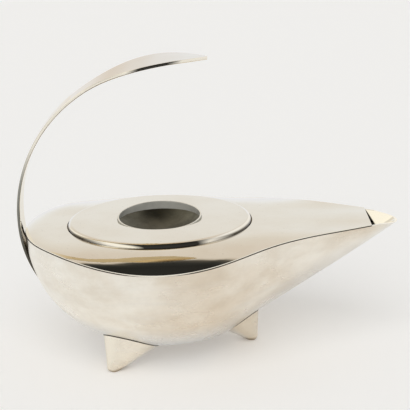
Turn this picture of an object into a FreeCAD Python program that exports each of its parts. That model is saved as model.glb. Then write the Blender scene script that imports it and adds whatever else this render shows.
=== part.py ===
# Silver teapot: a drop-shaped bowl on three cone feet, a domed deck, a lift-off lid and a strap handle.
# Millimetres and degrees, +Z up, floor at z = 0, spout towards +X.
import FreeCAD
import Part
import Sketcher

import math
import os

doc = FreeCAD.newDocument("teapot")
sheet = doc.addObject("Spreadsheet::Sheet", "sizes")

SIZES = {
    # Bowl: round at the rear, drawn out to a rounded tip, seen from above
    "bowl_radius": 80.0,
    "tip_reach": 147.3,
    "tip_radius": 13.0,
    "flank_hollow": 2.0,
    "bowl_wall": 1.6,
    "base_height": 9.8,
    "base_radius": 26.0,
    "base_shift": 14.5,
    "rear_fullness": 2.12,
    "keel_fullness": 1.03,
    "keel_spread": 100.0,
    # Deck: sheet level round the lid, falling most at the sides, with its edge turned down at the rear
    "crown_height": 76.8,
    "deck_thickness": 0.8,
    "side_fall": 7.9,
    "side_bearing": 88.0,
    "front_spread": 68.0,
    "rear_spread": 60.0,
    "tip_fall": 1.0,
    "tip_spread": 25.0,
    "turn_fall": 0.8,
    "turn_spread": 150.0,
    "opening_radius": 55.5,
    "spout_cut": 125.0,
    "lip_fall_angle": 8.0,
    # Lid seat under the deck's opening
    "seat_wall": 1.2,
    "ledge_drop": 5.2,
    "ledge_height": "=crown_height - ledge_drop",
    "ledge_thickness": 1.4,
    "ledge_width": 5.8,
    # Lid
    "lid_rise": 2.4,
    "lid_top": "=crown_height + lid_rise",
    "lid_clearance": 0.8,
    "rim_width": 3.4,
    "rim_round": 2.0,
    "plate_thickness": 2.6,
    "bezel_wall": 1.4,
    "bezel_drop": 6.0,
    # Finger pull in the lid
    "finger_radius": 24.2,
    "collar_wall": 1.0,
    "collar_depth": 2.8,
    "collar_low_side": -0.4,
    "collar_high_side": 3.8,
    "collar_round": 0.4,
    "cup_edge_drop": 1.0,
    "cup_edge": 1.6,
    "cup_depth": 8.0,
    "cup_thickness": 1.2,
    # Handle strap: root arc on the bowl, bend behind it, sweep over the pot, then a flat grip
    "strap_thickness": 1.8,
    "strap_width": 20.0,
    "strap_corner": 0.5,
    "root_standoff": 0.95,
    "strap_fit": 0.15,
    "bend_rise": 7.8,
    "bend_height": "=crown_height + bend_rise",
    "bend_radius": 86.3,
    "bend_turn": 53.7,
    "sweep_radius": 108.9,
    "root_radius": 88.7,
    "root_drop": 37.3,
    "root_height": "=crown_height - root_drop",
    "root_taper": 40.0,
    "grip_radius": 300.0,
    "grip_reach": 31.6,
    "grip_width": 42.0,
    "grip_widest": 5.0,
    "grip_neck": 44.0,
    "point_width": 2.6,
    # Feet
    "front_foot_reach": 55.0,
    "front_foot_tilt": 29.0,
    "rear_foot_reach": 55.0,
    "rear_foot_bearing": 123.5,
    "rear_foot_lean": 137.0,
    "rear_foot_tilt": 38.0,
    "foot_half_angle": 32.0,
    "foot_length": 32.0,
    "foot_tip_radius": 2.3,
    "foot_tip_round": 2.1,
    "foot_sink": 0.2,
    # Gap of the soldered seams
    "seam_gap": 0.1,
}
for row, (alias, value) in enumerate(SIZES.items(), start=1):
    sheet.set("A%d" % row, alias)
    sheet.set("B%d" % row, str(value))
    sheet.setAlias("B%d" % row, alias)
doc.recompute()

# Sampling of the curved forms
HALF_RING_STEPS = 28
TIP_CROWDING = 1.6
DEPTH_STEPS = 10
DECK_SHARES = (0.0, 0.25, 0.5, 0.7, 0.84, 0.93, 1.0)
ARC_STATIONS = 9
GRIP_STATIONS = 6
# Powers of the deck's dome and of its turned-down edge
DOME_POWER = 2.0
TURN_POWER = 8.0
# How far the seam's form reaches past the bowl, as a share of the bowl's reach
SEAM_OVERHANG = 1.05
# Widest gap that is closed between the faces of a sheet
SEW_TOLERANCE = 0.01
# Points tested on an edge, and how close they lie to the place looked for
EDGE_SAMPLES = 5
EDGE_TOLERANCE = 0.01

nodes = []


def size(alias):
    """Current value of one driving size."""
    return float(sheet.get(alias))


def keep(node, label):
    """Name a finished piece and list it for writing."""
    node.Label = label
    nodes.append(node)


def outline_reach(angle, inset):
    """Distance from the lid's axis to the drop-shaped outline, moved inwards by an inset."""
    rear = size("bowl_radius") - inset
    tip = size("tip_radius") - inset
    tip_centre = size("tip_reach") - size("tip_radius")
    side_normal = math.acos((rear - tip) / tip_centre)
    tip_touch = math.atan2(tip * math.sin(side_normal), tip_centre + tip * math.cos(side_normal))
    if angle >= side_normal:
        return rear
    if angle >= tip_touch:
        share = (angle - tip_touch) / (side_normal - tip_touch)
        hollow = size("flank_hollow") * math.sin(math.pi * share) ** 2
        return rear / math.cos(side_normal - angle) - hollow
    return tip_centre * math.cos(angle) + math.sqrt(tip ** 2 - (tip_centre * math.sin(angle)) ** 2)


def fullness(angle):
    """Power of the vertical section: full and round at the rear, straight on the keel."""
    share = min(angle / math.radians(size("keel_spread")), 1.0)
    blend = share * share * (3.0 - 2.0 * share)
    return size("keel_fullness") + (size("rear_fullness") - size("keel_fullness")) * blend


def base_reach(angle):
    """Distance from the lid's axis to the edge of the flat base, a circle moved towards the tip."""
    shift = size("base_shift")
    return shift * math.cos(angle) + math.sqrt(size("base_radius") ** 2 - (shift * math.sin(angle)) ** 2)


def bowl_reach(angle, share, inset):
    """Distance from the lid's axis to the bowl at a share of its depth."""
    power = fullness(angle)
    drawn_in = (1.0 - share ** power) ** (1.0 / power)
    return base_reach(angle) + (outline_reach(angle, inset) - base_reach(angle)) * drawn_in


def bowl_depth(inset):
    """Height of the bowl's form, from the deck's crown to its base."""
    return size("crown_height") - size("base_height") - inset


def swell(share):
    """Smooth hump that is 1 in its middle and 0 from a share of 1 on."""
    return math.cos(0.5 * math.pi * min(abs(share), 1.0)) ** 2


def dome_fall(angle):
    """Fall of the deck's dome to its edge, deepest at the sides."""
    off_side = angle - math.radians(size("side_bearing"))
    spread = size("rear_spread") if off_side > 0.0 else size("front_spread")
    sides = size("side_fall") * swell(off_side / math.radians(spread))
    return sides + size("tip_fall") * swell(angle / math.radians(size("tip_spread")))


def turn_fall(angle):
    """Further fall of the turned-down edge, deepest at the rear."""
    return size("turn_fall") * swell((math.pi - angle) / math.radians(size("turn_spread")))


def edge_drop(angle):
    """Drop from the deck's crown to the under side of its edge."""
    return dome_fall(angle) + turn_fall(angle) + size("deck_thickness")


def ring(spot):
    """Closed smooth curve through the spots at every sampled angle, from the rear round the tip."""
    points = []
    for step in range(-HALF_RING_STEPS, HALF_RING_STEPS):
        angle = math.pi * (abs(step) / HALF_RING_STEPS) ** TIP_CROWDING
        reach, height = spot(angle)
        across = math.copysign(reach * math.sin(angle), step)
        points.append(FreeCAD.Vector(reach * math.cos(angle), across, height))
    curve = Part.BSplineCurve()
    curve.interpolate(Points=points, PeriodicFlag=True)
    return Part.Wire(curve.toShape())


def bowl_ring(share, inset):
    """Level curve of the bowl at a share of its depth."""
    height = size("crown_height") - share * bowl_depth(inset)
    return ring(lambda angle: (bowl_reach(angle, share, inset), height))


def seam_reach(angle):
    """Distance from the lid's axis to the deck's edge, which is flush with the bowl."""
    return bowl_reach(angle, edge_drop(angle) / bowl_depth(0.0), 0.0)


def deck_ring(share, drop):
    """Curve on the deck at a share of the way from the opening to the edge, lowered by a drop."""
    inner = size("opening_radius")

    def spot(angle):
        fall = dome_fall(angle) * share ** DOME_POWER + turn_fall(angle) * share ** TURN_POWER
        return inner + (seam_reach(angle) - inner) * share, size("crown_height") - drop - fall

    return ring(spot)


def deck_form(name):
    """Domed sheet from the lid's opening to the seam."""
    upper = [deck_ring(share, 0.0) for share in DECK_SHARES]
    under = [deck_ring(share, size("deck_thickness")) for share in DECK_SHARES]
    walls = [Part.makeLoft(upper, False), Part.makeLoft(under, False)]
    for end in (0, -1):
        walls.append(Part.makeLoft([upper[end], under[end]], False, True))
    shell = Part.makeShell([face for wall in walls for face in wall.Faces])
    shell.sewShape(SEW_TOLERANCE)
    solid = Part.makeSolid(shell)
    if solid.Volume < 0.0:
        solid.reverse()
    form = doc.addObject("Part::Feature", name)
    form.Shape = solid
    return form


def seam_form(name):
    """Everything above the seam between the bowl and the deck."""
    def height(angle):
        return size("crown_height") - edge_drop(angle) - size("seam_gap")

    inner = ring(lambda angle: (size("opening_radius"), height(angle)))
    outer = ring(lambda angle: (SEAM_OVERHANG * outline_reach(angle, 0.0), height(angle)))
    seam = Part.makeLoft([inner, outer], False, True).Faces[0]
    form = doc.addObject("Part::Feature", name)
    form.Shape = seam.extrude(FreeCAD.Vector(0, 0, size("crown_height")))
    return form


def bowl_form(name, inset):
    """Filled bowl up to the deck's crown, moved inwards by an inset."""
    shares = [math.sin(0.5 * math.pi * step / (DEPTH_STEPS - 1)) for step in range(DEPTH_STEPS)]
    form = doc.addObject("Part::Feature", name)
    form.Shape = Part.makeLoft([bowl_ring(share, inset) for share in shares], True)
    return form


def cut(name, base, tool):
    """One solid less another."""
    result = doc.addObject("Part::Cut", name)
    result.Base = base
    result.Tool = tool
    return result


def edge_numbers(shape, test):
    """Numbers of the edges whose every sampled point passes a test."""
    numbers = []
    for number, edge in enumerate(shape.Edges, start=1):
        if all(test(point) for point in edge.discretize(EDGE_SAMPLES)):
            numbers.append(number)
    return numbers


def new_sketch(body, name, role):
    """Empty sketch on one of the body's own origin planes."""
    plane = [feature for feature in body.Origin.OriginFeatures if feature.Role == role][0]
    sketch = body.newObject("Sketcher::SketchObject", name)
    sketch.AttachmentSupport = [(plane, "")]
    sketch.MapMode = "FlatFace"
    return sketch


def tie_corner(sketch, edge, across, up):
    """Tie the start of one edge to two expressions."""
    for kind, rule, axis in (("DistanceX", across, -2), ("DistanceY", up, -1)):
        value = float(sketch.evalExpression(rule))
        if value == 0.0:
            sketch.addConstraint(Sketcher.Constraint("PointOnObject", edge, 1, axis))
        elif value > 0.0:
            number = sketch.addConstraint(Sketcher.Constraint(kind, -1, 1, edge, 1, value))
            sketch.setExpression("Constraints[%d]" % number, rule)
        else:
            number = sketch.addConstraint(Sketcher.Constraint(kind, edge, 1, -1, 1, -value))
            sketch.setExpression("Constraints[%d]" % number, "-(%s)" % rule)


def polygon(body, name, role, corners):
    """Closed sketch of straight lines whose corners are pairs of expressions."""
    sketch = new_sketch(body, name, role)
    spots = []
    for rules in corners:
        across, up = [float(sketch.evalExpression(rule)) for rule in rules]
        spots.append(FreeCAD.Vector(across, up, 0))
    count = len(spots)
    for index in range(count):
        sketch.addGeometry(Part.LineSegment(spots[index], spots[(index + 1) % count]))
    for index in range(count):
        sketch.addConstraint(Sketcher.Constraint("Coincident", index, 2, (index + 1) % count, 1))
    for index, (across, up) in enumerate(corners):
        tie_corner(sketch, index, across, up)
    return sketch


def turned_body(name, corners):
    """Body turned about the vertical axis from a polygon of radius and height expressions."""
    body = doc.addObject("PartDesign::Body", name)
    sketch = polygon(body, name + "_profile", "XZ_Plane", corners)
    return body, turn(body, sketch, name)


def turn(body, sketch, name):
    """Full revolution of a sketch about its own upright axis."""
    revolution = body.newObject("PartDesign::Revolution", name + "_turned")
    revolution.Profile = sketch
    revolution.ReferenceAxis = (sketch, ["V_Axis"])
    revolution.Angle = 360
    doc.recompute()
    return revolution


def dress(body, kind, name, base, test, size_name, rule):
    """Fillet or chamfer of the edges that pass a test."""
    feature = body.newObject(kind, name)
    feature.Base = (base, ["Edge%d" % number for number in edge_numbers(base.Shape, test)])
    feature.setExpression(size_name, rule)
    doc.recompute()
    return feature


def at_ring(radius, height):
    """Test for points on a level circle about the vertical axis."""
    def test(point):
        near_radius = abs(math.hypot(point.x, point.y) - radius) < EDGE_TOLERANCE
        return near_radius and abs(point.z - height) < EDGE_TOLERANCE
    return test


# Forms that the pieces share
outer_form = bowl_form("bowl_outside", 0.0)
inner_form = bowl_form("bowl_inside", size("bowl_wall"))
clear_form = bowl_form("bowl_clear", -size("seam_gap"))

# Bowl, cut along the seam and falling away at the pouring lip
lip_tool = doc.addObject("Part::Box", "lip_tool")
lip_tool.setExpression("Length", "sizes.tip_reach")
lip_tool.setExpression("Width", "2 * sizes.bowl_radius")
lip_tool.setExpression("Height", "sizes.bowl_radius")
lip_tool.setExpression(".Placement.Base.x", "sizes.spout_cut")
lip_tool.setExpression(".Placement.Base.y", "-sizes.bowl_radius")
lip_tool.setExpression(".Placement.Base.z", "sizes.crown_height - sizes.deck_thickness - sizes.seam_gap")
lip_tool.Placement.Rotation = FreeCAD.Rotation(FreeCAD.Vector(0, 1, 0), size("lip_fall_angle"))
bowl_shell = cut("bowl_shell", outer_form, inner_form)
bowl_trimmed = cut("bowl_trimmed", bowl_shell, seam_form("above_seam"))
bowl = cut("bowl_cut", bowl_trimmed, lip_tool)
keep(bowl, "bowl")

# Deck, its edge following the bowl's outline
spout_tool = doc.addObject("Part::Box", "spout_tool")
spout_tool.setExpression("Length", "sizes.tip_reach")
spout_tool.setExpression("Width", "2 * sizes.bowl_radius")
spout_tool.setExpression("Height", "2 * sizes.crown_height")
spout_tool.setExpression(".Placement.Base.x", "sizes.spout_cut")
spout_tool.setExpression(".Placement.Base.y", "-sizes.bowl_radius")
deck = cut("deck_cut", deck_form("deck_sheet"), spout_tool)
keep(deck, "deck")

# Lid seat: a well below the opening with a level ledge
SEAT_OUTSIDE = "sizes.opening_radius + sizes.seat_wall"
LEDGE_UNDER = "sizes.ledge_height - sizes.ledge_thickness"
LEDGE_INSIDE = "sizes.opening_radius - sizes.ledge_width"
SEAT_TOP = "sizes.crown_height - sizes.deck_thickness - sizes.seam_gap"
seat_body, seat_turned = turned_body("seat", [
    (LEDGE_INSIDE, LEDGE_UNDER),
    (SEAT_OUTSIDE, LEDGE_UNDER),
    (SEAT_OUTSIDE, SEAT_TOP),
    ("sizes.opening_radius", SEAT_TOP),
    ("sizes.opening_radius", "sizes.ledge_height"),
    (LEDGE_INSIDE, "sizes.ledge_height"),
])
keep(seat_body, "lid_seat")

# Lid rim, a ring that stands on the ledge
RIM_OUTSIDE = "sizes.opening_radius - sizes.lid_clearance"
RIM_INSIDE = RIM_OUTSIDE + " - sizes.rim_width"
PLATE_UNDER = "sizes.lid_top - sizes.plate_thickness"
rim_body, rim_turned = turned_body("rim", [
    (RIM_INSIDE, "sizes.ledge_height"),
    (RIM_OUTSIDE, "sizes.ledge_height"),
    (RIM_OUTSIDE, PLATE_UNDER),
    (RIM_INSIDE, PLATE_UNDER),
])
keep(rim_body, "lid_rim")

# Lid plate, a flat disc with a rounded edge on top of the rim
COLLAR_OUTSIDE = "sizes.finger_radius + sizes.collar_wall"
PLATE_INSIDE = COLLAR_OUTSIDE + " + sizes.seam_gap"
plate_body, plate_turned = turned_body("plate", [
    (PLATE_INSIDE, PLATE_UNDER),
    (RIM_OUTSIDE, PLATE_UNDER),
    (RIM_OUTSIDE, "sizes.lid_top"),
    (PLATE_INSIDE, "sizes.lid_top"),
])
plate_radius = size("opening_radius") - size("lid_clearance")
dress(plate_body, "PartDesign::Fillet", "plate_rounded", plate_turned,
      at_ring(plate_radius, size("lid_top")), "Radius", "sizes.rim_round")
keep(plate_body, "lid_plate")

# Lid bezel, which reaches down inside the ledge
BEZEL_OUTSIDE = LEDGE_INSIDE + " - sizes.lid_clearance"
BEZEL_INSIDE = BEZEL_OUTSIDE + " - sizes.bezel_wall"
BEZEL_UNDER = "sizes.ledge_height - sizes.bezel_drop"
bezel_body, bezel_turned = turned_body("bezel", [
    (BEZEL_INSIDE, BEZEL_UNDER),
    (BEZEL_OUTSIDE, BEZEL_UNDER),
    (BEZEL_OUTSIDE, PLATE_UNDER),
    (BEZEL_INSIDE, PLATE_UNDER),
])
keep(bezel_body, "lid_bezel")

# Finger collar, cut at a slant so that its far side stands up as a lip
COLLAR_UNDER = "sizes.lid_top - sizes.collar_depth"
COLLAR_LOW = "sizes.lid_top + sizes.collar_low_side"
COLLAR_HIGH = "sizes.lid_top + sizes.collar_high_side"
collar_body, collar_turned = turned_body("collar", [
    ("sizes.finger_radius", COLLAR_UNDER),
    (COLLAR_OUTSIDE, COLLAR_UNDER),
    (COLLAR_OUTSIDE, COLLAR_HIGH),
    ("sizes.finger_radius", COLLAR_HIGH),
])
slant_sketch = polygon(collar_body, "collar_slant_profile", "YZ_Plane", [
    ("-(%s)" % COLLAR_OUTSIDE, COLLAR_LOW),
    (COLLAR_OUTSIDE, COLLAR_HIGH),
    (COLLAR_OUTSIDE, COLLAR_HIGH + " + sizes.collar_high_side"),
    ("-(%s)" % COLLAR_OUTSIDE, COLLAR_HIGH + " + sizes.collar_high_side"),
])
slant = collar_body.newObject("PartDesign::Pocket", "collar_slant")
slant.Profile = slant_sketch
slant.Midplane = True
slant.setExpression("Length", "4 * (%s)" % COLLAR_OUTSIDE)
doc.recompute()


def on_collar_top(point):
    """Points of the collar's slanted upper edges."""
    reach = size("finger_radius") + size("collar_wall")
    rise = (size("collar_high_side") - size("collar_low_side")) / (2.0 * reach)
    middle = size("lid_top") + 0.5 * (size("collar_high_side") + size("collar_low_side"))
    return abs(point.z - middle - rise * point.y) < EDGE_TOLERANCE


dress(collar_body, "PartDesign::Fillet", "collar_rounded", slant,
      on_collar_top, "Radius", "sizes.collar_round")
keep(collar_body, "finger_collar")

# Finger cup, a round dish held inside the collar
CUP_RADIUS = "sizes.finger_radius - sizes.seam_gap"
CUP_EDGE = "sizes.lid_top - sizes.cup_edge_drop"
CUP_FLOOR = CUP_EDGE + " - sizes.cup_depth"
cup_body = doc.addObject("PartDesign::Body", "cup")
cup_sketch = new_sketch(cup_body, "cup_profile", "XZ_Plane")
cup_radius = size("finger_radius") - size("seam_gap")
cup_edge = size("lid_top") - size("cup_edge_drop")
cup_floor = cup_edge - size("cup_depth")


def dish_arc(edge_height, floor_height):
    """Arc from the axis to the cup's edge, level where it meets the axis."""
    rise = edge_height - floor_height
    radius = (cup_radius ** 2 + rise ** 2) / (2.0 * rise)
    centre = FreeCAD.Vector(0, floor_height + radius, 0)
    circle = Part.Circle(centre, FreeCAD.Vector(0, 0, 1), radius)
    sweep = math.asin(cup_radius / radius)
    return Part.ArcOfCircle(circle, -0.5 * math.pi, -0.5 * math.pi + sweep)


under_edge = cup_edge - size("cup_edge")
under_floor = cup_floor - size("cup_thickness")
upper_arc = cup_sketch.addGeometry(dish_arc(cup_edge, cup_floor))
side_line = cup_sketch.addGeometry(Part.LineSegment(
    FreeCAD.Vector(cup_radius, under_edge, 0), FreeCAD.Vector(cup_radius, cup_edge, 0)))
lower_arc = cup_sketch.addGeometry(dish_arc(under_edge, under_floor))
axis_line = cup_sketch.addGeometry(Part.LineSegment(
    FreeCAD.Vector(0, cup_floor, 0), FreeCAD.Vector(0, under_floor, 0)))
for first, first_end, second, second_end in (
        (upper_arc, 2, side_line, 2), (lower_arc, 2, side_line, 1),
        (upper_arc, 1, axis_line, 1), (lower_arc, 1, axis_line, 2)):
    cup_sketch.addConstraint(Sketcher.Constraint("Coincident", first, first_end, second, second_end))
for arc in (upper_arc, lower_arc):
    cup_sketch.addConstraint(Sketcher.Constraint("PointOnObject", arc, 3, -2))
for kind, edge, end, value, rule in (
        ("DistanceX", side_line, 1, cup_radius, CUP_RADIUS),
        ("DistanceX", side_line, 2, cup_radius, CUP_RADIUS),
        ("DistanceY", side_line, 2, cup_edge, CUP_EDGE),
        ("DistanceY", side_line, 1, under_edge, CUP_EDGE + " - sizes.cup_edge"),
        ("DistanceY", axis_line, 1, cup_floor, CUP_FLOOR),
        ("DistanceY", axis_line, 2, under_floor, CUP_FLOOR + " - sizes.cup_thickness")):
    number = cup_sketch.addConstraint(Sketcher.Constraint(kind, -1, 1, edge, end, value))
    cup_sketch.setExpression("Constraints[%d]" % number, rule)
for end in (1, 2):
    cup_sketch.addConstraint(Sketcher.Constraint("PointOnObject", axis_line, end, -2))
turn(cup_body, cup_sketch, "cup")
keep(cup_body, "finger_cup")


# Handle: stations along the strap, each with its place, direction and width
def back_beside(drop):
    """Rear of a strap that lies against the bowl at a depth below the crown."""
    rise = size("bend_rise") + drop
    bulge = size("root_radius") - math.sqrt(size("root_radius") ** 2 - rise ** 2)
    return bowl_reach(math.pi, drop / bowl_depth(0.0), 0.0) + size("root_standoff") + bulge


def handle_back():
    """Distance from the lid's axis to the rear of the strap, which is filed to fit a fuller bowl."""
    drop = size("root_drop")
    fullest = max(back_beside(drop * step / ARC_STATIONS) for step in range(ARC_STATIONS))
    return max(back_beside(drop), fullest - size("strap_fit"))


def strap_stations():
    """Place, heading and distance from the root of every section of the strap."""
    back = handle_back()
    bend = size("bend_radius")
    sweep = size("sweep_radius")
    root = size("root_radius")
    grip = size("grip_radius")
    height = size("bend_height")
    upright = 0.5 * math.pi
    root_turn = math.asin((height - size("root_height")) / root)
    bend_turn = math.radians(size("bend_turn"))
    sweep_turn = upright - bend_turn
    sweep_x = bend - back + (sweep - bend) * math.cos(bend_turn)
    sweep_z = height - (sweep - bend) * math.sin(bend_turn)
    grip_turn = math.asin((size("grip_reach") - sweep_x) / grip)
    arcs = (
        (root - back, height, root, -root_turn, root_turn, ARC_STATIONS),
        (bend - back, height, bend, 0.0, bend_turn, ARC_STATIONS),
        (sweep_x, sweep_z, sweep, bend_turn, sweep_turn, ARC_STATIONS),
        (sweep_x, sweep_z + sweep - grip, grip, upright, grip_turn, GRIP_STATIONS),
    )
    stations = []
    travel = 0.0
    for centre_x, centre_z, radius, start, turned, count in arcs:
        for step in range(count):
            heading = start + turned * step / count
            x = centre_x - radius * math.cos(heading)
            z = centre_z + radius * math.sin(heading)
            stations.append((x, z, heading, travel + radius * turned * step / count))
        travel += radius * turned
    end = upright + grip_turn
    end_z = sweep_z + sweep - grip + grip * math.sin(end)
    stations.append((size("grip_reach"), end_z, end, travel))
    return stations


def strap_width(travel, length):
    """Width of the strap: pointed root, even strap, leaf-shaped grip with a pointed end."""
    point = size("point_width")
    strap = size("strap_width")
    grip = size("grip_width")
    front = size("grip_reach") + size("grip_widest")
    from_widest = travel - (length - front)
    if from_widest >= 0.0:
        return grip - (grip - point) * (from_widest / front) ** 2
    if from_widest > -size("grip_neck"):
        return strap + (grip - strap) * math.cos(0.5 * math.pi * from_widest / size("grip_neck")) ** 2
    if travel < size("root_taper"):
        return point + (strap - point) * math.sin(0.5 * math.pi * travel / size("root_taper"))
    return strap


def strap_section(x, z, heading, width):
    """Rounded rectangle across the strap."""
    along = FreeCAD.Vector(math.sin(heading), 0, math.cos(heading))
    side = FreeCAD.Vector(0, 1, 0)
    out = along.cross(side)
    middle = FreeCAD.Vector(x, 0, z)
    half_width = 0.5 * width
    half_thick = 0.5 * size("strap_thickness")
    corner = size("strap_corner")
    edges = []
    quarter = math.sqrt(0.5)
    turns = ((1, 1), (-1, 1), (-1, -1), (1, -1))

    def spot(across, through):
        return middle + side * across + out * through

    ends = []
    for across, through in turns:
        inner_across = across * (half_width - corner)
        inner_through = through * (half_thick - corner)
        flat = spot(across * half_width, inner_through)
        bulge = spot(inner_across + across * corner * quarter, inner_through + through * corner * quarter)
        level = spot(inner_across, through * half_thick)
        ends.append((flat, bulge, level) if across == through else (level, bulge, flat))
    for index, (start, bulge, finish) in enumerate(ends):
        edges.append(Part.Arc(start, bulge, finish).toShape())
        edges.append(Part.LineSegment(finish, ends[(index + 1) % len(ends)][0]).toShape())
    return Part.Wire(edges)


stations = strap_stations()
strap_length = stations[-1][3]
strap = doc.addObject("Part::Feature", "strap_form")
sections = []
for x, z, heading, travel in stations:
    sections.append(strap_section(x, z, heading, strap_width(travel, strap_length)))
strap.Shape = Part.makeLoft(sections, True)
handle = cut("strap_fitted", strap, clear_form)
keep(handle, "handle")

# Feet: blunt cones, roughly square to the bowl, with a small flat where they stand
floor_tool = doc.addObject("Part::Box", "floor_tool")
floor_tool.setExpression("Length", "4 * sizes.tip_reach")
floor_tool.setExpression("Width", "4 * sizes.tip_reach")
floor_tool.setExpression("Height", "sizes.tip_reach")
floor_tool.setExpression(".Placement.Base.x", "-2 * sizes.tip_reach")
floor_tool.setExpression(".Placement.Base.y", "-2 * sizes.tip_reach")
floor_tool.setExpression(".Placement.Base.z", "-sizes.tip_reach")
FOOT_TOP = "sizes.foot_tip_radius + sizes.foot_length * tan(sizes.foot_half_angle * 1deg)"


def add_foot(label, reach, bearing, lean_bearing, tilt):
    """Foot that leans outwards from the bowl, trimmed by the bowl and by the floor."""
    body, turned = turned_body(label + "_cone", [
        ("0", "0"),
        ("sizes.foot_tip_radius", "0"),
        (FOOT_TOP, "sizes.foot_length"),
        ("0", "sizes.foot_length"),
    ])
    dress(body, "PartDesign::Fillet", label + "_tip", turned,
          at_ring(size("foot_tip_radius"), 0.0), "Radius", "sizes.foot_tip_round")
    upright = FreeCAD.Vector(0, 0, 1)
    tip = FreeCAD.Rotation(upright, bearing).multVec(FreeCAD.Vector(reach, 0, -size("foot_sink")))
    lean = FreeCAD.Rotation(FreeCAD.Vector(0, 1, 0), -tilt)
    body.Placement = FreeCAD.Placement(tip, FreeCAD.Rotation(upright, lean_bearing).multiply(lean))
    seated = cut(label + "_seated", body, clear_form)
    levelled = cut(label + "_levelled", seated, floor_tool)
    keep(levelled, label)


add_foot("front_foot", size("front_foot_reach"), 0.0, 0.0, size("front_foot_tilt"))
add_foot("left_foot", size("rear_foot_reach"), -size("rear_foot_bearing"), -size("rear_foot_lean"),
         size("rear_foot_tilt"))
add_foot("right_foot", size("rear_foot_reach"), size("rear_foot_bearing"), size("rear_foot_lean"),
         size("rear_foot_tilt"))

doc.recompute()

# Centre the whole pot over the origin
reach = Part.makeCompound([node.Shape for node in nodes]).optimalBoundingBox()
for node in nodes:
    node.Placement.Base.x = node.Placement.Base.x - 0.5 * (reach.XMin + reach.XMax)
doc.recompute()

failed = [item.Name for item in doc.Objects if "Invalid" in item.State or "Error" in item.State]
if failed:
    raise RuntimeError("failed objects: " + ", ".join(failed))
for node in nodes:
    if node.Shape.isNull() or not node.Shape.isValid() or len(node.Shape.Solids) != 1:
        raise RuntimeError("bad shape: " + node.Label)

os.makedirs("parts", exist_ok=True)
for node in nodes:
    node.Shape.exportStep(os.path.join("parts", node.Label + ".step"))
    box = node.Shape.optimalBoundingBox()
    print("%-14s volume %9.1f  x %7.2f..%7.2f  y %7.2f..%7.2f  z %7.2f..%7.2f" % (
        node.Label, node.Shape.Volume, box.XMin, box.XMax, box.YMin, box.YMax, box.ZMin, box.ZMax))
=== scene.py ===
import math

import bmesh
import bpy
from mathutils import Matrix, Vector
from mathutils.bvhtree import BVHTree


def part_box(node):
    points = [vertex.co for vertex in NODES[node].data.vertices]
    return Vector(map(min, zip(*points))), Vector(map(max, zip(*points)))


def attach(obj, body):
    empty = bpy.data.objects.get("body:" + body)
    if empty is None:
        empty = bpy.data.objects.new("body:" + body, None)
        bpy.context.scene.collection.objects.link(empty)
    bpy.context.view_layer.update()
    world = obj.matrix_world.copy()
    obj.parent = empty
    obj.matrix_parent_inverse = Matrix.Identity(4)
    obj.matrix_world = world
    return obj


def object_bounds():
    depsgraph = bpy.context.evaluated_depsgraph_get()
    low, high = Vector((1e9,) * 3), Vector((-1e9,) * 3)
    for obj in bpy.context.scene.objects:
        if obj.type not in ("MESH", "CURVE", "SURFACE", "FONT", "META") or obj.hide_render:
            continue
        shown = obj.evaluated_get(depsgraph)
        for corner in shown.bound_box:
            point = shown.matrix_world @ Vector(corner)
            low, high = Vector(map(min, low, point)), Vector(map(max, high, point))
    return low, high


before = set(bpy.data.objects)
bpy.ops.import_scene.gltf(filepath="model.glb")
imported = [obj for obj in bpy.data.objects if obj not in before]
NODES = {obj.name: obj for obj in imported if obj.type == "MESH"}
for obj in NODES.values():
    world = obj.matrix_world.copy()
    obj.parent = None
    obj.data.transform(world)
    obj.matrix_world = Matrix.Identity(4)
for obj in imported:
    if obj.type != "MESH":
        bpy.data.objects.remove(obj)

CAD_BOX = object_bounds()
LID_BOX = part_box("lid_plate")
LID_X = 0.5 * (LID_BOX[0][0] + LID_BOX[1][0])
LID_RADIUS = 0.5 * (LID_BOX[1][0] - LID_BOX[0][0])
scene = bpy.context.scene

# Reach of the painted shade in seams and corners, partly crevice tarnish; the well's longer reach darkens the
# gap round the lid
SEAM_REACH = 0.0015
SATIN_REACH = 0.0035
WELL_REACH = 0.006

# Roll of the lid's edge, measured in from its rim, and how far it tilts up
ROLL_START = 0.0018
ROLL_END = 0.0008
ROLL_LIFT = 0.6

# Painted shade low on the lid's edge at both ends: how far from its middle it fades, and its top
LID_END_REACH = (0.044, 0.029)
LID_SHADE_TOP = (0.0775, 0.0785)

# Rounding of the strap's edges
STRAP_ROUND = 0.0009


# Node helpers
def add(tree, kind, inputs=None, **settings):
    """New shader node with its settings and its inputs, each a value or another node's output."""
    made = tree.nodes.new(kind)
    for name, value in settings.items():
        setattr(made, name, value)
    for name, value in (inputs or {}).items():
        if isinstance(value, bpy.types.NodeSocket):
            tree.links.new(value, made.inputs[name])
        else:
            made.inputs[name].default_value = value
    return made


def place_of(tree):
    """Place on the piece."""
    return add(tree, "ShaderNodeTexCoord").outputs["Object"]


def normal_of(tree):
    """Direction that the face looks in."""
    return add(tree, "ShaderNodeNewGeometry").outputs["Normal"]


def axes_of(tree, vector):
    """The X, Y and Z of a vector."""
    return add(tree, "ShaderNodeSeparateXYZ", {"Vector": vector}).outputs


def worked(tree, operation, *values):
    """Result of one arithmetic step."""
    return add(tree, "ShaderNodeMath", dict(enumerate(values)), operation=operation).outputs[0]


def ramp(tree, factor, stops, interpolation="LINEAR"):
    """Colour ramp from pairs of a position and a colour."""
    made = add(tree, "ShaderNodeValToRGB", {"Fac": factor})
    band = made.color_ramp
    band.interpolation = interpolation
    while len(band.elements) < len(stops):
        band.elements.new(1.0)
    for element, (position, colour) in zip(band.elements, stops):
        element.position = position
        element.color = (*colour, 1.0)
    return made.outputs["Color"]


def grey(value):
    return (value, value, value)


def noise(tree, vector, scale, detail, roughness):
    """Noise value over a vector."""
    return add(tree, "ShaderNodeTexNoise", {
        "Vector": vector, "Scale": scale, "Detail": detail, "Roughness": roughness,
    }).outputs["Fac"]


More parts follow.
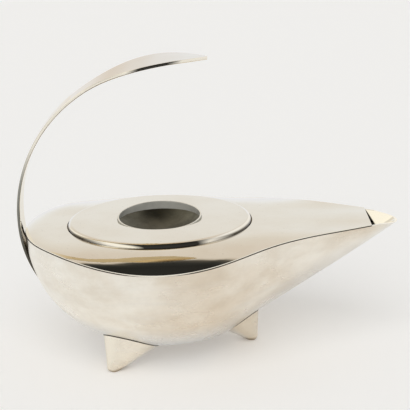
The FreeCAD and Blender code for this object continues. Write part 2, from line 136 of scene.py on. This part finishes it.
def stretched(tree, vector, scale, turn=(0.0, 0.0, 0.0)):
    """Coordinates turned and stretched."""
    return add(tree, "ShaderNodeMapping", {
        "Vector": vector, "Scale": scale, "Rotation": turn,
    }).outputs["Vector"]


def mix(tree, factor, first, second, blend="MIX"):
    """Mix of two colours."""
    made = add(tree, "ShaderNodeMix", data_type="RGBA", blend_type=blend)
    for socket, value in ((made.inputs[0], factor), (made.inputs[6], first), (made.inputs[7], second)):
        if isinstance(value, bpy.types.NodeSocket):
            tree.links.new(value, socket)
        elif isinstance(value, tuple):
            socket.default_value = (*value, 1.0)
        else:
            socket.default_value = value
    return made.outputs[2]


def shader_tree(name):
    """New material with an empty node tree."""
    material = bpy.data.materials.new(name)
    material.use_nodes = True
    material.node_tree.nodes.clear()
    return material, material.node_tree


def metal(tree, colour, roughness, relief, depth):
    """Metal surface with a fine relief, joined to the output."""
    bump = add(tree, "ShaderNodeBump", {"Height": relief, "Strength": 0.35, "Distance": depth})
    surface = add(tree, "ShaderNodeBsdfPrincipled", {
        "Base Color": colour, "Roughness": roughness, "Normal": bump.outputs["Normal"], "Metallic": 1.0,
    })
    add(tree, "ShaderNodeOutputMaterial", {"Surface": surface.outputs["BSDF"]})
    return surface, bump


def with_corner_shade(tree, colour, shade, reach):
    """Colour darkened in seams and corners: painted shade from the ambient-occlusion node, partly crevice
    tarnish.
    """
    open_share = add(tree, "ShaderNodeAmbientOcclusion", {"Distance": reach}, samples=8).outputs["AO"]
    return mix(tree, 1.0, colour, ramp(tree, open_share, [(0.25, shade), (0.75, grey(1.0))]), "MULTIPLY")


def between(tree, value, low, high):
    """Share that goes from 0 at low to 1 at high."""
    return add(tree, "ShaderNodeMapRange", {
        "Value": value, "From Min": low, "From Max": high,
    }).outputs["Result"]


def facing_up(tree, low, high):
    """Share that grows with how far a face looks up."""
    return between(tree, axes_of(tree, normal_of(tree))["Z"], low, high)


def satin_silver(name, clean, tarnished):
    """Brushed silver with tarnish clouds, smears, faint level marks, a painted cool reflection on faces that
    look down and painted shade, partly crevice tarnish, in corners.
    """
    material, tree = shader_tree(name)
    place = place_of(tree)
    shifted = worked(tree, "MULTIPLY_ADD", axes_of(tree, place)["X"], 4.0, 0.5)
    forward_share = ramp(tree, shifted, [
        (0.30, grey(0.0)),
        (0.45, grey(1.0)),
        (0.485, grey(1.0)),
        (0.56, grey(0.48)),
        (0.70, grey(0.70)),
        (1.00, grey(0.72)),
    ], "EASE")
    clouds = noise(tree, place, 21.0, 4.0, 0.55)
    heavier = worked(tree, "MULTIPLY_ADD", forward_share, 0.40, clouds)
    share = ramp(tree, heavier, [(0.44, grey(0.0)), (1.0, grey(1.0))], "EASE")
    colour = mix(tree, share, clean, tarnished)
    smears = noise(tree, stretched(tree, place, (38.0, 38.0, 75.0), (0.0, 0.25, 0.0)), 1.0, 5.0, 0.6)
    smear_tone = ramp(tree, smears, [
        (0.36, (0.92, 0.90, 0.875)),
        (0.56, grey(1.0)),
        (0.70, (1.03, 1.035, 1.045)),
    ])
    colour = mix(tree, 1.0, colour, smear_tone, "MULTIPLY")
    marks = noise(tree, stretched(tree, place, (16.0, 16.0, 130.0)), 1.0, 4.0, 0.55)
    mark_share = ramp(tree, marks, [(0.50, grey(0.0)), (0.80, grey(0.32))], "EASE")
    colour = mix(tree, mark_share, colour, (0.80, 0.785, 0.75))
    grain = noise(tree, place, 420.0, 3.0, 0.6)
    colour = mix(tree, 1.0, colour, ramp(tree, grain, [(0.3, grey(0.97)), (0.7, grey(1.0))]), "MULTIPLY")
    # Painted cool reflection: faces that look down are tinted cool grey
    colour = mix(tree, facing_up(tree, -0.95, -0.6), (0.80, 0.83, 0.86), colour)
    # Painted shade in corners and seams, partly crevice tarnish
    colour = with_corner_shade(tree, colour, (0.42, 0.36, 0.28), SATIN_REACH)
    inside = facing_up(tree, 0.02, 0.15)
    colour = mix(tree, inside, colour, (0.96, 0.91, 0.79))
    roughness = ramp(tree, mix(tree, 0.5, clouds, marks), [(0.3, grey(0.22)), (0.7, grey(0.34))])
    roughness = mix(tree, inside, roughness, grey(0.10))
    brushed = noise(tree, stretched(tree, place, (60.0, 60.0, 1500.0)), 1.0, 4.0, 0.7)
    metal(tree, colour, roughness, mix(tree, 0.35, brushed, grain), 0.000012)
    return material


def bright_silver(name, reach):
    """Polished silver with a warm haze, dust specks and hairline scratches, with painted shade in narrow
    seams.
    """
    material, tree = shader_tree(name)
    place = place_of(tree)
    clouds = noise(tree, place, 26.0, 5.0, 0.6)
    colour = ramp(tree, clouds, [(0.35, (0.91, 0.87, 0.78)), (0.75, (0.86, 0.80, 0.69))], "EASE")
    specks = noise(tree, place, 800.0, 2.0, 0.5)
    colour = mix(tree, 1.0, colour, ramp(tree, specks, [(0.68, grey(1.0)), (0.80, grey(0.72))]), "MULTIPLY")
    # Painted shade in corners and seams, partly crevice tarnish
    colour = with_corner_shade(tree, colour, (0.30, 0.25, 0.18), reach)
    hairs = noise(tree, stretched(tree, place, (300.0, 2600.0, 2600.0), (0.3, 0.5, 0.8)), 1.0, 2.0, 0.5)
    roughness = ramp(tree, mix(tree, 0.4, clouds, hairs), [(0.3, grey(0.015)), (0.7, grey(0.05))])
    surface, bump = metal(tree, colour, roughness, hairs, 0.000004)
    return material, surface, bump


def lid_silver():
    """Polished silver of the lid, which looks rolled over at the edge and has painted shade low on its edge
    at both ends.
    """
    material, surface, bump = bright_silver("lid_silver", SEAM_REACH)
    tree = material.node_tree
    place = place_of(tree)
    level = stretched(tree, place, (1.0, 1.0, 0.0))
    outward = add(tree, "ShaderNodeVectorMath", {0: level, 1: (LID_X, 0.0, 0.0)}, operation="DISTANCE")
    edge_share = between(tree, outward.outputs["Value"], LID_RADIUS - ROLL_START, LID_RADIUS - ROLL_END)
    plain = normal_of(tree)
    lifted = add(tree, "ShaderNodeVectorMath", {0: plain, 1: (0.0, 0.0, ROLL_LIFT)}, operation="ADD")
    eased = mix(tree, edge_share, plain, lifted.outputs["Vector"])
    rolled = add(tree, "ShaderNodeVectorMath", {0: eased}, operation="NORMALIZE")
    tree.links.new(rolled.outputs["Vector"], bump.inputs["Normal"])
    # Painted shade: the lid's edge is darkened low down at both ends, next to the gap; clean marks the part
    # left unshaded
    axes = axes_of(tree, place)
    aside = worked(tree, "ABSOLUTE", worked(tree, "SUBTRACT", axes["X"], LID_X))
    middle = between(tree, aside, *LID_END_REACH)
    above = between(tree, axes["Z"], *LID_SHADE_TOP)
    clean = worked(tree, "MAXIMUM", middle, above)
    polished = surface.inputs["Base Color"].links[0].from_socket
    tree.links.new(mix(tree, clean, (0.075, 0.062, 0.045), polished), surface.inputs["Base Color"])
    return material


def strap_silver():
    """Polished silver of the strap with a grip haze, partly tarnish and partly painted reflection, faces that
    look down tinted gold-brown, and softened edges darkened partly by tarnish and partly by painted dark
    reflection.
    """
    material, surface, bump = bright_silver("strap_silver", SEAM_REACH)
    tree = material.node_tree
    axes = axes_of(tree, place_of(tree))
    shifted = worked(tree, "MULTIPLY_ADD", axes["X"], 5.0, 0.6)
    # Grip haze in the specular tint: partly tarnish, partly painted reflection
    grip_haze_and_reflection = ramp(tree, shifted, [
        (0.15, (0.97, 0.96, 0.93)),
        (0.24, (0.93, 0.88, 0.80)),
        (0.32, (0.86, 0.77, 0.65)),
        (0.40, (0.90, 0.84, 0.75)),
        (0.47, (0.94, 0.91, 0.86)),
        (0.56, (0.96, 0.95, 0.92)),
    ], "EASE")
    tree.links.new(grip_haze_and_reflection, surface.inputs["Specular Tint"])
    polished = surface.inputs["Base Color"].links[0].from_socket
    # Faces that look down are tinted gold-brown
    tinted_below = mix(tree, facing_up(tree, -0.6, -0.25), (0.64, 0.51, 0.31), polished)
    # Side faces of the strap darkened by height: partly tarnish, partly painted dark reflection
    sideways = worked(tree, "ABSOLUTE", axes_of(tree, normal_of(tree))["Y"])
    edge_share = between(tree, sideways, 0.55, 0.85)
    edge_tarnish_and_reflection = ramp(tree, axes["Z"], [
        (0.030, (0.07, 0.065, 0.06)),
        (0.066, (0.12, 0.12, 0.115)),
        (0.085, (0.24, 0.25, 0.255)),
        (0.106, (0.36, 0.38, 0.39)),
        (0.128, grey(1.0)),
    ])
    # Dark streak along the grip's edge: painted dark reflection, partly tarnish
    grip_streak_tarnish_and_reflection = ramp(tree, shifted, [
        (0.37, grey(1.0)),
        (0.405, grey(0.05)),
        (0.49, grey(0.05)),
        (0.53, grey(1.0)),
    ])
    edge_tarnish_and_reflection = mix(tree, 1.0, edge_tarnish_and_reflection, grip_streak_tarnish_and_reflection, "MULTIPLY")
    darkened = mix(tree, edge_share, tinted_below, mix(tree, 1.0, tinted_below, edge_tarnish_and_reflection, "MULTIPLY"))
    tree.links.new(darkened, surface.inputs["Base Color"])
    eased = add(tree, "ShaderNodeBevel", {"Radius": STRAP_ROUND}, samples=6)
    tree.links.new(eased.outputs["Normal"], bump.inputs["Normal"])
    return material


def collar_silver():
    """Unpolished wall of the finger hole with a polished top edge."""
    material, tree = shader_tree("collar_silver")
    place = place_of(tree)
    clouds = noise(tree, place, 90.0, 4.0, 0.6)
    colour = ramp(tree, clouds, [(0.35, (0.59, 0.57, 0.51)), (0.75, (0.47, 0.455, 0.40))], "EASE")
    ringed = noise(tree, stretched(tree, place, (80.0, 80.0, 1900.0)), 1.0, 4.0, 0.7)
    top = facing_up(tree, 0.6, 0.9)
    colour = mix(tree, top, colour, (0.90, 0.86, 0.77))
    roughness = mix(tree, top, ramp(tree, ringed, [(0.3, grey(0.38)), (0.7, grey(0.52))]), grey(0.04))
    surface = metal(tree, colour, roughness, ringed, 0.00001)[0]
    tree.links.new(mix(tree, top, grey(0.35), grey(1.0)), surface.inputs["Metallic"])
    return material


def dark_silver():
    """Near-black olive cup, partly blackened silver and partly painted shade of the hollow, with a little
    dust.
    """
    material, tree = shader_tree("dark_silver")
    place = place_of(tree)
    clouds = noise(tree, place, 60.0, 6.0, 0.62)
    # Near-black colour: partly blackened silver, partly painted shade of the enclosed hollow
    colour = ramp(tree, clouds, [(0.35, (0.165, 0.155, 0.115)), (0.75, (0.095, 0.088, 0.065))], "EASE")
    specks = noise(tree, place, 1300.0, 2.0, 0.5)
    colour = mix(tree, ramp(tree, specks, [(0.66, grey(0.0)), (0.76, grey(0.5))]), colour, (0.34, 0.33, 0.29))
    grain = noise(tree, place, 400.0, 4.0, 0.7)
    roughness = ramp(tree, grain, [(0.3, grey(0.32)), (0.7, grey(0.48))])
    metal(tree, colour, roughness, grain, 0.00003)
    return material


def dark_seam():
    """Blackened solder in the joints, also used as painted shade in the gap at the strap's root."""
    material, tree = shader_tree("dark_seam")
    place = place_of(tree)
    lumps = noise(tree, place, 500.0, 4.0, 0.6)
    colour = ramp(tree, lumps, [(0.35, (0.045, 0.036, 0.026)), (0.75, (0.14, 0.115, 0.085))])
    roughness = ramp(tree, lumps, [(0.3, grey(0.5)), (0.7, grey(0.75))])
    metal(tree, colour, roughness, lumps, 0.00005)
    return material


satin = satin_silver("satin_silver", (0.965, 0.935, 0.86), (0.81, 0.72, 0.595))
foot_silver = satin_silver("foot_silver", (0.91, 0.85, 0.74), (0.80, 0.71, 0.58))
bright = bright_silver("bright_silver", SEAM_REACH)[0]
# Longer reach of painted shade, which darkens the gap round the lid
well = bright_silver("well_silver", WELL_REACH)[0]
lid = lid_silver()
strap = strap_silver()
collar = collar_silver()
dark = dark_silver()
seam = dark_seam()

FINISH = {
    "bowl": satin, "front_foot": foot_silver, "left_foot": foot_silver, "right_foot": foot_silver,
    "deck": bright, "lid_seat": well, "handle": strap, "lid_rim": well, "lid_plate": lid,
    "lid_bezel": bright, "finger_collar": collar, "finger_cup": dark,
}
for name, finish in FINISH.items():
    mesh = NODES[name].data
    mesh.materials.clear()
    mesh.materials.append(finish)

# Dark solder lines along the joints of the bowl, and a dark line of painted shade in the gap at the strap's
# root
SHARP = math.radians(35.0)
WELD = 0.000002
UPRIGHT = 0.99
TUBE_SIDES = 6
SEAM_RADIUS = 0.0003
SEAM_SHARE = 0.12
FOOT_TIP_TOP = 0.004
OPENING_RADIUS = 0.062
LOOKS_DOWN = -0.4
ROOT_SEAM_RADIUS = 0.0005
ROOT_STEPS = 24
ROOT_START = 0.001
ROOT_TOP = 0.074
ROOT_REACH = 0.0025
ROOT_LIFT = 0.0002


def sharp_runs(node, wanted):
    """Rows of points along the sharp edges of a node that pass a test on their middle and face normals."""
    form = bmesh.new()
    form.from_mesh(NODES[node].data)
    bmesh.ops.remove_doubles(form, verts=form.verts, dist=WELD)
    left = set()
    for edge in form.edges:
        if len(edge.link_faces) == 2 and edge.calc_face_angle() > SHARP:
            middle = 0.5 * (edge.verts[0].co + edge.verts[1].co)
            if wanted(middle, [face.normal for face in edge.link_faces]):
                left.add(edge)
    runs = []
    for first in [edge for edge in form.edges if edge in left]:
        if first not in left:
            continue
        left.discard(first)
        run = list(first.verts)
        for end in (-1, 0):
            while True:
                onward = [edge for edge in run[end].link_edges if edge in left]
                if not onward:
                    break
                left.discard(onward[0])
                run.insert(len(run) if end else 0, onward[0].other_vert(run[end]))
        runs.append([vert.co.copy() for vert in run])
    form.free()
    return runs


def root_runs():
    """Rows of points down both sides of the strap's root, where it meets the bowl."""
    bowl = BVHTree.FromPolygons(
        [vert.co for vert in NODES["bowl"].data.vertices],
        [face.vertices for face in NODES["bowl"].data.polygons])
    strap_points = [vert.co for vert in NODES["handle"].data.vertices]
    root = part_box("handle")[0][2]
    runs = []
    for side in (-1.0, 1.0):
        run = []
        for step in range(ROOT_STEPS + 1):
            height = root + ROOT_START + (ROOT_TOP - root) * step / ROOT_STEPS
            level = [point for point in strap_points if abs(point.z - height) < ROOT_REACH]
            across = max(point.y * side for point in level) * side
            hit = bowl.ray_cast(Vector((-1.0, across, height)), Vector((1.0, 0.0, 0.0)))[0]
            if hit is not None:
                run.append(hit - Vector((ROOT_LIFT, 0.0, 0.0)))
        runs.append(run)
    return runs


def solder_line(name, runs, radius):
    """Thin tube along rows of points, thinned where it would reach past the pot's sides."""
    points = []
    faces = []
    for run in runs:
        base = len(points)
        for index, spot in enumerate(run):
            ahead = (run[min(index + 1, len(run) - 1)] - run[max(index - 1, 0)]).normalized()
            side = ahead.orthogonal() if abs(ahead.z) > UPRIGHT else ahead.cross(Vector((0.0, 0.0, 1.0)))
            side.normalize()
            over = side.cross(ahead)
            spare = min(CAD_BOX[1][1] - spot.y, spot.y - CAD_BOX[0][1])
            thick = min(radius, SEAM_SHARE * spare)
            for step in range(TUBE_SIDES):
                turn = 2.0 * math.pi * step / TUBE_SIDES
                points.append(spot + thick * (math.cos(turn) * side + math.sin(turn) * over))
        for index in range(len(run) - 1):
            for step in range(TUBE_SIDES):
                here = base + index * TUBE_SIDES
                after = (step + 1) % TUBE_SIDES
                faces.append((here + step, here + after, here + TUBE_SIDES + after, here + TUBE_SIDES + step))
    mesh = bpy.data.meshes.new(name)
    mesh.from_pydata(points, [], faces)
    mesh.shade_smooth()
    mesh.materials.append(seam)
    piece = bpy.data.objects.new(name, mesh)
    scene.collection.objects.link(piece)
    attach(piece, "pot")


def above_the_floor(middle, normals):
    """Edges of a foot above its rounded tip."""
    return middle.z > FOOT_TIP_TOP


def under_the_edge(middle, normals):
    """Lower outer edges of the deck, clear of the lid's opening."""
    outward = math.hypot(middle.x - LID_X, middle.y)
    return min(normal.z for normal in normals) < LOOKS_DOWN and outward > OPENING_RADIUS


for foot in ("front_foot", "left_foot", "right_foot"):
    solder_line(foot + "_solder", sharp_runs(foot, above_the_floor), SEAM_RADIUS)
solder_line("deck_solder", sharp_runs("deck", under_the_edge), SEAM_RADIUS)
# Dark tube down the strap's root: painted shade of the gap between strap and bowl
solder_line("handle_root_shade_line", root_runs(), ROOT_SEAM_RADIUS)

# Floor
FLOOR_HALF = 4.0
floor_mesh = bpy.data.meshes.new("floor")
floor_mesh.from_pydata(
    [(-FLOOR_HALF, -FLOOR_HALF, 0.0), (FLOOR_HALF, -FLOOR_HALF, 0.0),
     (FLOOR_HALF, FLOOR_HALF, 0.0), (-FLOOR_HALF, FLOOR_HALF, 0.0)], [], [(0, 1, 2, 3)])
floor = bpy.data.objects.new("floor", floor_mesh)
scene.collection.objects.link(floor)
floor_material = bpy.data.materials.new("floor_paper")
floor_material.use_nodes = True
paper = floor_material.node_tree.nodes["Principled BSDF"]
paper.inputs["Base Color"].default_value = (0.86, 0.855, 0.845, 1.0)
paper.inputs["Roughness"].default_value = 0.8
paper.inputs["Emission Color"].default_value = (0.192, 0.168, 0.142, 1.0)
paper.inputs["Emission Strength"].default_value = 1.0
floor_mesh.materials.append(floor_material)

# Light: a white sweep behind, white cards at both sides, a dark room overhead and a wide soft lamp
world = bpy.data.worlds.new("studio")
scene.world = world
world.use_nodes = True
sky = world.node_tree
sky.nodes.clear()
towards = add(sky, "ShaderNodeTexCoord").outputs["Generated"]
axes = axes_of(sky, towards)
half_turn = worked(sky, "DIVIDE", worked(sky, "ARCTAN2", axes["Z"], axes["Y"]), math.pi)
sweep = ramp(sky, half_turn, [
    (0.000, (0.89, 0.91, 0.96)),
    (0.044, (0.87, 0.89, 0.95)),
    (0.067, (0.88, 0.90, 0.93)),
    (0.082, (0.84, 0.84, 0.83)),
    (0.100, (0.80, 0.77, 0.72)),
    (0.122, (0.77, 0.73, 0.67)),
    (0.200, (0.74, 0.68, 0.61)),
    (0.312, (0.73, 0.67, 0.60)),
    (0.326, (0.62, 0.56, 0.48)),
    (0.344, (0.10, 0.09, 0.075)),
    (0.368, (0.035, 0.035, 0.032)),
    (0.400, (0.022, 0.022, 0.020)),
    (0.800, grey(0.04)),
    (0.850, (0.34, 0.335, 0.32)),
    (0.890, (0.78, 0.77, 0.75)),
    (1.000, (0.86, 0.85, 0.84)),
])
left_card = ramp(sky, worked(sky, "MULTIPLY_ADD", axes["X"], 0.5, 0.5), [
    (0.05, grey(0.45)),
    (0.15, (1.00, 0.98, 0.93)),
    (0.28, (1.05, 1.02, 0.93)),
    (0.37, grey(0.0)),
])
slanted = worked(sky, "MULTIPLY_ADD", axes["Y"], 0.5, axes["X"])
beside = worked(sky, "MULTIPLY_ADD", slanted, 0.4, 0.5)
right_card = ramp(sky, beside, [(0.668, grey(0.0)), (0.76, (0.95, 0.94, 0.92))])
surround = mix(sky, 1.0, mix(sky, 1.0, sweep, left_card, "LIGHTEN"), right_card, "LIGHTEN")
mirrored = add(sky, "ShaderNodeBackground", {"Color": surround, "Strength": 1.0})
lighting = add(sky, "ShaderNodeBackground", {"Color": (0.51, 0.535, 0.555, 1.0), "Strength": 1.0})
glossy = add(sky, "ShaderNodeLightPath").outputs["Is Glossy Ray"]
chosen = add(sky, "ShaderNodeMixShader", {0: glossy, 1: lighting.outputs[0], 2: mirrored.outputs[0]})
add(sky, "ShaderNodeOutputWorld", {"Surface": chosen.outputs[0]})

lamp_data = bpy.data.lights.new("soft_lamp", "SUN")
lamp_data.energy = 1.28
lamp_data.angle = math.radians(60.0)
lamp = bpy.data.objects.new("soft_lamp", lamp_data)
lamp.rotation_euler = (math.radians(46.0), math.radians(-12.0), 0.0)
lamp.visible_glossy = False
scene.collection.objects.link(lamp)

# Camera at the photograph's angle
CAMERA_PLACE = (-0.00332, -0.8082, 0.3072)
PITCH = math.radians(15.3)
ROLL = math.radians(1.9)
forward = Vector((0.0, math.cos(PITCH), -math.sin(PITCH)))
level_up = Vector((0.0, math.sin(PITCH), math.cos(PITCH)))
level_right = Vector((1.0, 0.0, 0.0))
right = math.cos(ROLL) * level_right - math.sin(ROLL) * level_up
up = math.sin(ROLL) * level_right + math.cos(ROLL) * level_up
camera_data = bpy.data.cameras.new("camera")
camera_data.sensor_width = 36.0
camera_data.lens = 122.9
camera_data.clip_start = 0.01
camera = bpy.data.objects.new("camera", camera_data)
turned = Matrix((right, up, -forward)).transposed().to_4x4()
camera.matrix_world = Matrix.Translation(CAMERA_PLACE) @ turned
scene.collection.objects.link(camera)
scene.camera = camera
scene.view_settings.view_transform = "Standard"
